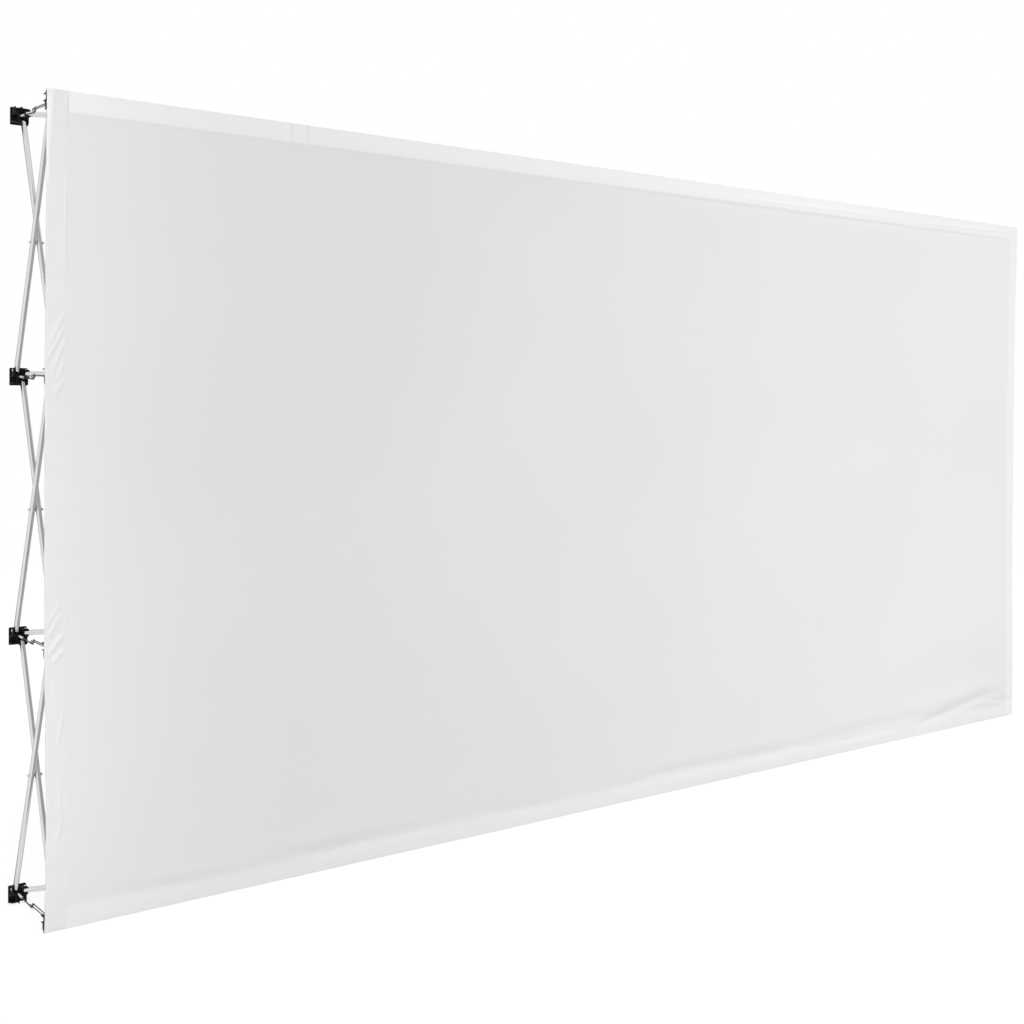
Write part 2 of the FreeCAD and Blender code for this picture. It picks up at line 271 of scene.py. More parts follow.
def weave_height(tree, pitch):
    """Crossed threads: the higher of two sets of round ridges at each place."""
    bands_per_unit = 20 / (2 * math.pi)
    bands = []
    for direction in ("X", "Z"):
        wave = tree.nodes.new("ShaderNodeTexWave")
        wave.bands_direction = direction
        wave.inputs["Scale"].default_value = 1 / (bands_per_unit * pitch)
        wave.inputs["Distortion"].default_value = 0.4
        wave.inputs["Detail"].default_value = 1.0
        tree.links.new(place(tree), wave.inputs["Vector"])
        bands.append(wave.outputs["Fac"])
    top = tree.nodes.new("ShaderNodeMath")
    top.operation = "MAXIMUM"
    tree.links.new(bands[0], top.inputs[0])
    tree.links.new(bands[1], top.inputs[1])
    return top.outputs["Value"]


def banner_cloth():
    material, tree, shader = new_material("banner_cloth", sheen_weight=0.12, sheen_roughness=0.5,
                                          specular_ior_level=0.15)
    hem = tree.nodes.new("ShaderNodeAttribute")
    hem.attribute_name = "hem"
    patch = noise(tree, place(tree), scale=1.1, detail=2.0)
    field = ramp(tree, patch, [(0.3, (0.775, 0.775, 0.785)), (0.7, (0.80, 0.80, 0.81))])
    # Lighter colour of the doubled hem; through the hem attribute it also gives the painted highlight on the
    # turned-over strip and the painted shade at the tape joints.
    layer = tree.nodes.new("ShaderNodeMix")
    layer.data_type = "RGBA"
    layer.inputs["B"].default_value = (0.885, 0.885, 0.89, 1)
    tree.links.new(hem.outputs["Fac"], layer.inputs["Factor"])
    tree.links.new(field, layer.inputs["A"])
    tree.links.new(layer.outputs["Result"], shader.inputs["Base Color"])
    tree.links.new(ranged(tree, patch, low=0.82, high=0.92), shader.inputs["Roughness"])
    bump(tree, shader, weave_height(tree, pitch=0.0007), strength=0.12, distance=0.0002)
    return material


def fuzzy(name, low, high, scale):
    material, tree, shader = new_material(name, sheen_weight=0.5, sheen_roughness=0.6, specular_ior_level=0.1)
    where = place(tree)
    fibre = noise(tree, where, scale, detail=5.0, roughness=0.7)
    patch = noise(tree, where, scale=70.0, detail=3.0)
    tree.links.new(ramp(tree, fibre, [(0.3, low), (0.7, high)]), shader.inputs["Base Color"])
    tree.links.new(ranged(tree, patch, low=0.85, high=1.0), shader.inputs["Roughness"])
    bump(tree, shader, fibre, strength=0.7, distance=0.0008)
    return material


ALUMINIUM = aluminium()
PLASTIC = hub_plastic()
STEEL = plain_metal("pin_steel", grey(0.62), grey(0.72), 0.24, 0.36, grey(0.45))
WIRE = plain_metal("lock_wire", grey(0.16), grey(0.24), 0.30, 0.42, grey(0.25))
BRIGHT = plain_metal("ferrule_metal", grey(0.94), grey(0.98), 0.26, 0.36, grey(0.9), 0.25)
CLOTH = banner_cloth()
LOOP = fuzzy("loop_tape", grey(0.70), grey(0.84), 900.0)
HOOK = fuzzy("hook_pad", grey(0.012), grey(0.035), 1200.0)
THREAD = fuzzy("sewing_thread", grey(0.74), grey(0.86), 4000.0)


# Tubes and hubs

def tube_shape(sides=40):
    """A tube along X whose ends are rounded about their pins, with eased rims."""
    angle = np.arange(sides) * (2 * math.pi / sides)
    bore = TUBE_RADIUS - TUBE_WALL
    ease, bore_depth = 0.00025, 0.03
    rim = [(bore, bore_depth), (bore, ease), (bore + ease, 0), (TUBE_RADIUS - ease, 0), (TUBE_RADIUS, ease)]
    rings = []
    for end in (-1, 1):
        for radius, back in rim:
            y, z = np.cos(angle) * radius, np.sin(angle) * radius
            x = end * (TUBE_HALF + np.sqrt(TUBE_RADIUS ** 2 - np.minimum(y * y, TUBE_RADIUS ** 2)) - back)
            rings.append(np.stack([x, y, z], 1))
    left, right = rings[:len(rim)], rings[len(rim):]
    order = left + right[::-1]
    faces = ring_faces(0, sides, len(order))
    last = (len(order) - 1) * sides
    for i in range(sides):
        j = (i + 1) % sides
        faces.append((i, last + i, last + j, j))
    return np.concatenate(order), faces


def hub_shape():
    """The hub's own solid with its edges softened as a moulding's are."""
    weld, bevel = 2e-6, 0.0005
    flat_angle, sharp_angle = math.radians(2), math.radians(40)
    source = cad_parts["rear_hubs_level_1"].data
    work = bmesh.new()
    work.from_mesh(source)
    far = [v for v in work.verts if v.co.x > COLUMNS[0] + SPACING / 2]
    bmesh.ops.delete(work, geom=far, context="VERTS")
    bmesh.ops.translate(work, verts=work.verts, vec=(-COLUMNS[0], -REAR_PLANE, -LEVELS[0]))
    bmesh.ops.remove_doubles(work, verts=work.verts, dist=weld)
    bmesh.ops.dissolve_limit(work, angle_limit=flat_angle, verts=work.verts, edges=work.edges,
                             use_dissolve_boundaries=False, delimit=set())
    sharp = [e for e in work.edges if len(e.link_faces) == 2 and e.calc_face_angle(0) > sharp_angle]
    bmesh.ops.bevel(work, geom=sharp, offset=bevel, offset_type="OFFSET", segments=2, profile=0.5,
                    affect="EDGES", clamp_overlap=True)
    bmesh.ops.triangulate(work, faces=[f for f in work.faces if len(f.verts) > 4])
    work.verts.index_update()
    points = np.array([v.co[:] for v in work.verts])
    faces = [tuple(v.index for v in f.verts) for f in work.faces]
    work.free()
    return points, faces


def at(x, y, z):
    return Matrix.Translation((x, y, z))


def turn(angle, axis):
    return Matrix.Rotation(angle, 4, axis)


REAR_FACING = Matrix.Identity(4)
FRONT_FACING = turn(math.pi, "Z")
UPRIGHT = Matrix.Rotation(math.pi, 4, Vector((1, 0, 1)).normalized())
ROWS = (("front", FRONT_PLANE, FRONT_FACING), ("rear", REAR_PLANE, REAR_FACING))
SLOPES = (("rearward", 1), ("forward", -1))
tube = tube_shape()
hub = hub_shape()
for j, level in enumerate(LEVELS):
    tag = f"_level_{j + 1}"
    for row, plane, facing in ROWS:
        places = [at(x, plane, level) @ facing for x in COLUMNS]
        dress(f"{row}_hubs{tag}", repeated(hub, places), PLASTIC, "frame", smooth_deg=30)
    for slope, way in SLOPES:
        tilt = turn(way * TUBE_SLOPE, "Z")
        spots = [at(x, MIDDLE_PLANE, level - way * TUBE_OFFSET) @ tilt for x in BAY_MIDDLES]
        node = f"{slope}_tubes{tag}"
        dress(node, repeated(tube, spots), ALUMINIUM, "frame", smooth_deg=50)
for i, column in enumerate(COLUMNS):
    for slope, way in SLOPES:
        tilt = turn(-way * TUBE_SLOPE, "X")
        spots = [at(column + way * TUBE_OFFSET, MIDDLE_PLANE, z) @ tilt @ UPRIGHT for z in STOREY_MIDDLES]
        node = f"{slope}_tubes_column_{i + 1}"
        dress(node, repeated(tube, spots), ALUMINIUM, "frame", smooth_deg=50)

# Rivets and pins, turned from (radius, height) pairs
HALF_RIVET = [(0.0045, 0.0006), (0.0045, 0.0009), (0.002, 0.0009), (0.002, 0.0161), (0.0042, 0.0161),
              (0.0045, 0.0164), (0.0041, 0.0178), (0.0036, 0.0192), (0.0031, 0.0204), (0.0025, 0.0212),
              (0.0016, 0.02155)]
TUBE_PIN = [(0.0017, -0.0033), (0.002, -0.003), (0.002, 0.0205), (0.0033, 0.0205), (0.0035, 0.0207),
            (0.0033, 0.0211), (0.0028, 0.0216), (0.0022, 0.0220), (0.0014, 0.0221)]
LOCK_PIN = [(0.0012, -0.0098), (0.0015, -0.0095), (0.0015, 0.0095), (0.0012, 0.0098)]
rivet = lathe([(r, -z) for r, z in reversed(HALF_RIVET)] + HALF_RIVET, sides=28)
level_spots = [at(x, MIDDLE_PLANE, z) for z in LEVELS for x in BAY_MIDDLES]
column_spots = [at(x, MIDDLE_PLANE, z) @ turn(math.pi / 2, "Y") for x in COLUMNS for z in STOREY_MIDDLES]
dress("level_scissor_rivets", repeated(rivet, level_spots), STEEL, "frame")
dress("column_scissor_rivets", repeated(rivet, column_spots), STEEL, "frame")

tube_pin = moved(lathe(TUBE_PIN, sides=24), at(PIVOT_REACH, 0, 0))
for row, plane, facing in ROWS:
    for run, sides in (("level", (0, 2)), ("column", (1, 3))):
        spots = []
        for i, x in enumerate(COLUMNS):
            for j, z in enumerate(LEVELS):
                for side in sides:
                    socket = facing @ turn(-side * math.pi / 2, "Y")
                    way = socket @ Vector((1, 0, 0))
                    if 0 <= i + round(way.x) < len(COLUMNS) and 0 <= j + round(way.z) < len(LEVELS):
                        spots.append(at(x, plane, z) @ socket)
        dress(f"{row}_{run}_tube_pins", repeated(tube_pin, spots), STEEL, "frame")
lock_pin = moved(lathe(LOCK_PIN, sides=20), turn(math.pi / 2, "Y"))
lock_spots = [at(x, REAR_PLANE, z) for z in LEVELS for x in COLUMNS]
dress("rear_lock_pins", repeated(lock_pin, lock_spots), STEEL, "frame")

# Locks: a hooked rod in a crimped ferrule, and a wire bail that catches its hook
ROD_RADIUS, ROD_BEND, ROD_START = 0.002, 0.003, 0.006
POST_HEIGHT, TAIL_LENGTH = 0.009, 0.009
FERRULE_RADIUS, CRIMP_RADIUS = 0.00325, 0.0030
BAIL_RADIUS, BAIL_BEND = 0.0015, 0.002
BAIL_LEG, BAIL_SEAT, BAIL_REACH = 0.00425, 0.0098, 0.1533
BAIL_RISE, BAIL_BAR = 0.0025, -0.0037
elbow = Vector((0, -0.116, -0.008))
rod_way = elbow.normalized()
post_top = elbow + Vector((0, 0, POST_HEIGHT))
tail_end = post_top + Vector((0, -1, 1)).normalized() * TAIL_LENGTH
rod_path = bent_path([rod_way * ROD_START, elbow, post_top, tail_end], ROD_BEND)
lock_rod = swept(rod_path, ROD_RADIUS, sides=18)
along_rod = Vector((0, 0, 1)).rotation_difference(rod_way).to_matrix().to_4x4()
ball = [(FERRULE_RADIUS * math.cos(a), FERRULE_RADIUS * math.sin(a)) for a in np.linspace(-1.45, 0, 9)]
crimps = []
for start in (0.0215, 0.0245):
    crimps += [(FERRULE_RADIUS, start), (CRIMP_RADIUS, start + 0.0005), (CRIMP_RADIUS, start + 0.0013),
               (FERRULE_RADIUS, start + 0.0018)]
ferrule_end = [(FERRULE_RADIUS, 0.0296), (0.0029, 0.03), (0.0019, 0.03)]
ferrule = moved(lathe(ball + crimps + ferrule_end, sides=24), along_rod)
bail_side = [(BAIL_SEAT, 0, 0), (BAIL_LEG, 0, 0), (BAIL_LEG, BAIL_REACH, BAIL_RISE),
             (BAIL_LEG, BAIL_REACH, BAIL_BAR)]
bail_path = bent_path(bail_side + [(-x, y, z) for x, y, z in reversed(bail_side)], BAIL_BEND)
bail = swept(bail_path, BAIL_RADIUS, sides=16)
for j, z in enumerate(LEVELS):
    k = j + 1
    rear = [at(x, REAR_PLANE, z) for x in COLUMNS]
    front = [at(x, FRONT_PLANE, z) for x in COLUMNS]
    dress(f"lock_rods_level_{k}", repeated(lock_rod, rear), WIRE, f"lock_rods_{k}")
    dress(f"lock_ferrules_level_{k}", repeated(ferrule, rear), BRIGHT, f"lock_rods_{k}")
    dress(f"lock_bails_level_{k}", repeated(bail, front), WIRE, f"lock_bails_{k}")


# Banner

def smooth_step(value, low, high):
    t = np.clip((value - low) / (high - low), 0, 1)
    return t * t * (3 - 2 * t)


def fold(x, z, start, end, width, height, taper=0.25):
    """A soft ridge along a line, fading towards both its ends."""
    a, b = np.array(start), np.array(end)
    along = b - a
    length = np.linalg.norm(along)
    along = along / length
    s = (x - a[0]) * along[0] + (z - a[1]) * along[1]
    d = -(x - a[0]) * along[1] + (z - a[1]) * along[0]
    t = s / length
    fade = smooth_step(t, -taper, taper) * (1 - smooth_step(t, 1 - taper, 1 + taper))
    return height * fade * np.exp(-(d / width) ** 2)


# Each fold: start and end on the wall as x and z, half width, height
FOLDS = [
    ((1.58, 0.052), (2.06, 0.122), 0.020, -0.0050),
    ((1.40, 0.095), (2.12, 0.175), 0.045, 0.0040),
    ((1.05, 0.070), (1.62, 0.104), 0.024, -0.0026),
    ((0.98, 0.048), (1.38, 0.054), 0.011, -0.0020),
    ((0.45, 0.060), (1.20, 0.086), 0.026, -0.0026),
    ((-0.20, 0.060), (0.55, 0.078), 0.024, -0.0018),
    ((2.06, 0.098), (2.19, 0.070), 0.010, -0.0026),
    ((2.12, 0.16), (2.22, 0.09), 0.010, 0.0018),
    ((-1.98, 0.085), (-1.60, 0.070), 0.024, 0.0018),
    ((-1.60, 0.110), (-1.15, 0.080), 0.030, 0.0013),
    ((-2.243, 1.583), (-2.203, 1.672), 0.0055, 0.0025),
    ((-2.245, 1.548), (-2.205, 1.631), 0.0055, 0.0027),
    ((-2.230, 1.516), (-2.203, 1.588), 0.0050, 0.0024),
    ((-2.222, 1.489), (-2.199, 1.543), 0.0050, 0.0021),
    ((-2.225, 1.454), (-2.203, 1.494), 0.0050, 0.0027),
    ((-2.200, 1.758), (-2.200, 2.013), 0.0035, 0.0032),
    ((-2.242, 2.080), (-2.231, 2.270), 0.0035, 0.0016),
    ((-2.201, 2.187), (-2.198, 2.260), 0.0035, 0.0028),
    ((-2.245, 0.837), (-2.214, 0.882), 0.0055, 0.0021),
    ((-2.243, 0.799), (-2.209, 0.858), 0.0055, 0.0023),
    ((-2.238, 0.756), (-2.203, 0.802), 0.0055, 0.0036),
    ((-2.227, 0.732), (-2.198, 0.764), 0.0055, 0.0030),
    ((-2.219, 0.587), (-2.227, 0.670), 0.0055, 0.0023),
    ((-2.217, 0.507), (-2.205, 0.590), 0.0055, 0.0024),
    ((-2.212, 0.329), (-2.217, 0.399), 0.0050, 0.0021),
    ((-2.226, 0.233), (-2.212, 0.292), 0.0055, 0.0023),
    ((-2.217, 0.179), (-2.230, 0.214), 0.0055, 0.0019),
    ((2.202, 1.70), (2.240, 1.62), 0.008, 0.0016),
    ((2.200, 1.10), (2.242, 1.00), 0.008, 0.0018),
    ((2.204, 0.55), (2.240, 0.46), 0.008, 0.0016),
    ((1.55, 2.238), (2.15, 2.246), 0.007, 0.0014),
    ((0.40, 2.236), (1.30, 2.242), 0.007, 0.0012),
    ((-0.10, 2.204), (0.75, 2.206), 0.008, -0.0012),
    ((0.65, 2.205), (2.10, 2.208), 0.008, -0.0015),
    ((1.35, 0.36), (2.20, 0.42), 0.170, 0.0060),
]
HEM_WIDTH = 0.058
HEM_STEP = 0.0008
BOTTOM_HEM_SHARE = 0.4
THICKNESS = FABRIC_BACK - FABRIC_FRONT
STITCH_INSETS = (0.007, 0.0465, 0.0555)
STITCH_DENT, STITCH_DENT_WIDTH = 0.00025, 0.0014
TAPE_JOINTS = (-1.511, -1.457)
SEAM_DENT, SEAM_WIDTH = 0.0008, 0.0025
HOLD_MARGIN, HOLD_REACH = 0.002, 0.04
EDGE_HUBS = [(x, z) for i, x in enumerate(COLUMNS) for j, z in enumerate(LEVELS)
             if i in (0, len(COLUMNS) - 1) or j in (0, len(LEVELS) - 1)]

# How far each side edge is drawn in, as pairs of height and distance; a slack edge has a negative distance
LEFT_DRAW = [(0.0, 0.0058), (0.05, 0.0058), (0.11, 0.0105), (0.36, 0.0105), (0.63, 0.0066), (0.79, 0.0046),
             (1.44, 0.0040), (1.84, 0.0058), (2.16, 0.0075), (2.275, 0.0060)]
RIGHT_DRAW = [(0.0, -0.0160), (0.14, -0.0160), (0.28, -0.0120), (0.56, -0.0040), (0.84, 0.0), (1.70, 0.0008),
              (1.96, -0.0020), (2.275, -0.0100)]
DRAW_REACH = 0.35
# Ripples of the side edges, as pairs of height and wavelength
EDGE_RIPPLES = ((0.0006, 0.27), (0.0004, 0.113))


def eased(z, table):
    """The distance that a table of heights gives at z, without kinks."""
    samples, blur = 400, 33
    heights = np.linspace(BANNER_LOW, BANNER_HIGH, samples)
    window = np.hanning(blur)
    padded = np.pad(np.interp(heights, *zip(*table)), len(window) // 2, mode="edge")
    return np.interp(z, heights, np.convolve(padded, window / window.sum(), "valid"))


def drawn(x, z):
    """Where x of the flat cloth lies at height z on the wall."""
    share = smooth_step(np.abs(x), BANNER_HALF - DRAW_REACH, BANNER_HALF - HEM_WIDTH)
    draw = np.where(x < 0, eased(z, LEFT_DRAW), eased(z, RIGHT_DRAW))
    for height, wavelength in EDGE_RIPPLES:
        draw = draw + height * np.sin(2 * math.pi * z / wavelength)
    return x - np.sign(x) * share * draw


def tape_joint(x, z):
    """1 along the two seams across the top hem where its tape is joined."""
    seam = sum(np.exp(-((x - seam_x) / SEAM_WIDTH) ** 2) for seam_x in TAPE_JOINTS)
    return seam * smooth_step(z, BANNER_HIGH - HEM_WIDTH, BANNER_HIGH - TAPE_WIDTH)


def held(x, z):
    """1 where a hook pad holds the cloth, fading out around it."""
    grip = np.zeros_like(x)
    for hub_x, hub_z in EDGE_HUBS:
        reach = np.maximum(np.abs(x - hub_x), np.abs(z - hub_z))
        grip = np.maximum(grip, 1 - smooth_step(reach, PAD_HALF + HOLD_MARGIN, PAD_HALF + HOLD_REACH))
    return grip


def turned_edge_highlight(x, z):
    """1 on the strip at the left edge, widest at the top, where the cloth is turned over and gets a painted
    highlight.
    """
    narrow, widening = 0.0055, 0.0080
    width = narrow + widening * smooth_step(z, 2.13, 2.25)
    return (1 - smooth_step(x + BANNER_HALF, width - 0.002, width + 0.001)) * smooth_step(z, 1.98, 2.06)


def hem_light(x, z):
    """How much lighter the doubled cloth looks, from 0 in the field to 1 in the top hem, with a painted
    highlight on the turned-over strip at the left edge and painted shade along the tape joints.
    """
    left_strength, right_strength, seam_shade = 0.07, 0.42, 0.9
    bottom_strength = 0.42 - 0.34 * smooth_step(x, -0.6, 0.6)
    top_strength = 1.0 - 0.45 * smooth_step(x, 0.7, 1.7)
    light = np.zeros_like(x)
    for inset, strength, blur in ((BANNER_HALF - x, right_strength, 0.004),
                                  (z - BANNER_LOW, bottom_strength, 0.012),
                                  (BANNER_HIGH - z, top_strength, 0.004)):
        light = np.maximum(light, strength * (1 - smooth_step(inset, HEM_WIDTH - blur, HEM_WIDTH + blur)))
    left = 1 - smooth_step(x + BANNER_HALF, HEM_WIDTH - 0.002, HEM_WIDTH + 0.004)
    # The turned-over strip takes the full hem colour: partly doubled cloth, partly a painted highlight.
    left_light = left_strength + (1 - left_strength) * turned_edge_highlight(x, z)
    # Painted shade along the tape joints darkens the hem colour there.
    return (light * (1 - left) + left_light * left) * (1 - seam_shade * tape_joint(x, z))


def forward(x, z):
    """How far the cloth's front stands forward of the plane of its field."""
    from_side, from_top, from_floor = BANNER_HALF - np.abs(x), BANNER_HIGH - z, z - BANNER_LOW
    edge = np.minimum(from_side, np.minimum(from_top, from_floor))
    crisp = 1 - smooth_step(np.minimum(from_side, from_top), HEM_WIDTH - 0.001, HEM_WIDTH + 0.006)
    soft = 1 - smooth_step(from_floor, HEM_WIDTH - 0.014, HEM_WIDTH + 0.014)
    hem = np.maximum(crisp, BOTTOM_HEM_SHARE * soft)
    out = HEM_STEP * hem
    for inset in STITCH_INSETS:
        out = out - STITCH_DENT * np.exp(-((edge - inset) / STITCH_DENT_WIDTH) ** 2)
    # Slow waves in the field, which die out towards the hems
    inside = smooth_step(from_side, 0.05, 0.4) * smooth_step(np.minimum(from_top, from_floor), 0.05, 0.4)
    out = out + inside * (0.0009 * np.sin(2.1 * x + 0.7) * np.sin(1.9 * z + 0.4)
                          + 0.0005 * np.sin(4.3 * x - 1.2 * z) * np.cos(3.1 * z + 0.5 * x))
    # Short waves in the two upright hems
    upright = hem * (np.abs(x) > BANNER_HALF - HEM_WIDTH) * smooth_step(edge, 0, 0.01)
    out = out + upright * 0.00035 * np.sin(2 * math.pi * (z + 0.25 * x) / 0.115 + 1.3 * np.sin(5 * z))
    for start, end, width, height in FOLDS:
        out = out + fold(x, z, start, end, width, height)
    # A shallow groove that wanders along the top of the bottom hem
    groove_width = 0.022
    middle = BANNER_LOW + 0.062 + 0.008 * np.sin(5.1 * x + 0.4) + 0.004 * np.sin(13.7 * x)
    depth = 0.0015 + 0.0008 * np.sin(3.7 * x) + 0.0008 * np.sin(9.3 * x + 1.0)
    out = out - depth * np.exp(-((z - middle) / groove_width) ** 2)
    out = out - SEAM_DENT * tape_joint(x, z)
    return out + held(x, z) * np.maximum(HEM_STEP - out, 0)


def graded(stops):
    """Places along a line from (start, step) pairs, the last of which gives its end."""
    runs = [np.linspace(start, end, max(round((end - start) / step), 1), endpoint=False)
            for (start, step), (end, _) in zip(stops, stops[1:])]
    return np.append(np.concatenate(runs), stops[-1][0])


def rolled(places, radius, depth):
    """Adds the turned-back edge at both ends of a row: the new places and how far back each lies."""
    low, high = places[0], places[-1]
    flat = places[(places > low + radius) & (places < high - radius)]
    angle = np.linspace(0, math.pi / 2, 6)
    turn_out, turn_back = radius * np.sin(angle), radius * (1 - np.cos(angle))
    tail = np.linspace(radius, depth, 3)[1:]
    right = np.concatenate([high - radius + turn_out, np.full(len(tail), high)])
    left = np.concatenate([low + radius - turn_out, np.full(len(tail), low)])
    back = np.concatenate([turn_back, tail])
    return (np.concatenate([left[::-1], flat, right]),
            np.concatenate([back[::-1], np.zeros(len(flat)), back]))


def grid_faces(nx, nz, base=0):
    index = np.arange(nx * nz).reshape(nx, nz) + base
    corners = (index[:-1, :-1], index[1:, :-1], index[1:, 1:], index[:-1, 1:])
    return np.stack([corner.ravel() for corner in corners], 1)


def rim_faces(nx, nz, base):
    index = np.arange(nx * nz).reshape(nx, nz)
    border = np.concatenate([index[:, 0], index[-1, 1:], index[-2::-1, -1], index[0, -2:0:-1]])
    following = np.roll(border, -1)
    return np.stack([border, border + base, following + base, following], 1)


def sheet_faces(nx, nz):
    """A front grid, the back grid that follows it in the list of points, and the rim between them."""
    count = nx * nz
    return np.concatenate([grid_faces(nx, nz), grid_faces(nx, nz, count)[:, ::-1], rim_faces(nx, nz, count)])


SIDE_RADIUS, SIDE_RETURN = 0.003, 0.007
END_RADIUS, END_RETURN = 0.0012, 0.002
BOTTOM_HANG, HANG_REACH = 0.0009, 0.05
# Where the cloth's mesh is fine or coarse: starts of runs with the step used from there
X_STEPS = [(-BANNER_HALF, 0.0022), (0.066 - BANNER_HALF, 0.06), (0.4, 0.04), (1.0, 0.028),
           (BANNER_HALF - 0.066, 0.0035), (BANNER_HALF, 0)]
Z_STEPS = [(BANNER_LOW, 0.0033), (0.068, 0.006), (0.17, 0.011), (0.50, 0.0065), (0.89, 0.02), (1.45, 0.0065),
           (1.71, 0.025), (BANNER_HIGH - 0.078, 0.0033), (BANNER_HIGH, 0)]
JOINT_STRIP = np.linspace(-0.006, 0.006, 9)
joint_columns = np.add.outer(TAPE_JOINTS, JOINT_STRIP).ravel()
columns = np.sort(np.concatenate([graded(X_STEPS), joint_columns]))
xs, x_back = rolled(columns, SIDE_RADIUS, SIDE_RETURN)
zs, z_back = rolled(graded(Z_STEPS), END_RADIUS, END_RETURN)
grid_x, grid_z = np.meshgrid(xs, zs, indexing="ij")
rise, hem_share = forward(grid_x, grid_z), hem_light(grid_x, grid_z)
set_back = x_back[:, None] + z_back[None, :]
turned = smooth_step(set_back, 0.001, 0.004)
front_y = FABRIC_FRONT + HEM_STEP - rise * (1 - turned) - HEM_STEP * turned + set_back
hang = BOTTOM_HANG * (1 - smooth_step(grid_z - BANNER_LOW, 0, HANG_REACH))
front_points = np.stack([drawn(grid_x, grid_z), front_y, grid_z - hang], -1)
slope_x, slope_z = np.gradient(front_points, axis=0), np.gradient(front_points, axis=1)
normal = np.cross(slope_x, slope_z)
length = np.linalg.norm(normal, axis=-1, keepdims=True)
# The four corners have no slope of their own: there the cloth's thickness points out of the corner
corner = np.stack([np.sign(grid_x), 0 * grid_x, np.sign(grid_z - 1)], -1) / math.sqrt(2)
TINY_AREA = 1e-12
normal = np.where(length > TINY_AREA, normal / np.maximum(length, TINY_AREA), corner)
back_points = front_points - normal * THICKNESS
points = np.concatenate([front_points.reshape(-1, 3), back_points.reshape(-1, 3)])
faces = sheet_faces(*grid_x.shape).tolist()
fabric = make_object("banner_fabric.visual", (points, faces), CLOTH, smooth_deg=60)
hem_attribute = fabric.data.attributes.new("hem", "FLOAT", "POINT")
hem_attribute.data.foreach_set("value", np.tile(hem_share.ravel(), 2).astype(np.float32))
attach(fabric, "banner")
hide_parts("banner_fabric")


def mesh_rise(x, z):
    """How far the cloth's mesh stands forward at places between its rows and columns."""
    i = np.clip(np.searchsorted(xs, x, side="right") - 1, 0, len(xs) - 2)
    j = np.clip(np.searchsorted(zs, z, side="right") - 1, 0, len(zs) - 2)
    u = (x - xs[i]) / np.maximum(xs[i + 1] - xs[i], 1e-9)
    v = (z - zs[j]) / np.maximum(zs[j + 1] - zs[j], 1e-9)
    low = rise[i, j] * (1 - u) + rise[i + 1, j] * u
    high = rise[i, j + 1] * (1 - u) + rise[i + 1, j + 1] * u
    return low * (1 - v) + high * v


def sag(x, z):
    """How far the cloth's back lies behind the plane of the tapes."""
    return np.maximum(HEM_STEP - mesh_rise(x, z), 0)


# Stitching: short thread bars along both edges of the tape, on the cloth's face and on the tape

def stitch_bar(length=0.0042, radius=0.0003, sides=4):
    stations = [(-0.5, 0.35), (-0.3, 1.0), (0.3, 1.0), (0.5, 0.35)]
    angle = np.arange(sides) * (2 * math.pi / sides)
    across, up = np.cos(angle) * radius, np.sin(angle) * radius
    points = [np.stack([np.full(sides, t * length), across * r, up * r], 1) for t, r in stations]
    faces = ring_faces(0, sides, len(stations))
    last = (len(stations) - 1) * sides
    faces.append(tuple(range(sides - 1, -1, -1)))
    faces.append(tuple(range(last, last + sides)))
    return np.concatenate(points), faces


STITCH_PITCH = 0.006
STITCH_SINK = 0.00005
TAPE_STITCH_SINK = 0.0001
bar = stitch_bar()


def stitch_line(inset):
    """Stitch centres and directions along a rectangle inset from the banner's edge."""
    x0, x1 = -BANNER_HALF + inset, BANNER_HALF - inset
    z0, z1 = BANNER_LOW + inset, BANNER_HIGH - inset
    corners = np.array([(x0, z0), (x1, z0), (x1, z1), (x0, z1)])
    spots = []
    for start, end in zip(corners, np.roll(corners, -1, axis=0)):
        count = int(np.linalg.norm(end - start) / STITCH_PITCH)
        along = (end - start) / np.linalg.norm(end - start)
        for k in range(count):
            spots.append((*(start + (end - start) * (k + 0.5) / count), *along))
    return np.array(spots)


def stitches(spots, y_values):
    shapes = []
    for (x, z, ax, az), y in zip(spots, y_values):
        rows = np.array([[ax, 0, az], [0, 1, 0], [-az, 0, ax]])
        shapes.append((bar[0] @ rows + (x, y, z), bar[1]))
    return merged(shapes)


rows = np.concatenate([stitch_line(inset) for inset in STITCH_INSETS])
tape_rows = np.concatenate([stitch_line(inset) for inset in STITCH_INSETS[:2]])
row_rise = mesh_rise(rows[:, 0], rows[:, 1])
tape_sag = sag(tape_rows[:, 0], tape_rows[:, 1])
rows[:, 0] = drawn(rows[:, 0], rows[:, 1])
tape_rows[:, 0] = drawn(tape_rows[:, 0], tape_rows[:, 1])
row_y = FABRIC_FRONT + HEM_STEP - row_rise - STITCH_SINK
tape_row_y = TAPE_BACK - TAPE_STITCH_SINK + tape_sag
face_stitches = make_object("hem_stitches_face", stitches(rows, row_y), THREAD)
tape_stitches = make_object("hem_stitches_tape", stitches(tape_rows, tape_row_y), THREAD)
for piece in (face_stitches, tape_stitches):
    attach(piece, "banner")


# Loop tapes: pile strips with soft edges and a sewn-down line near each long edge

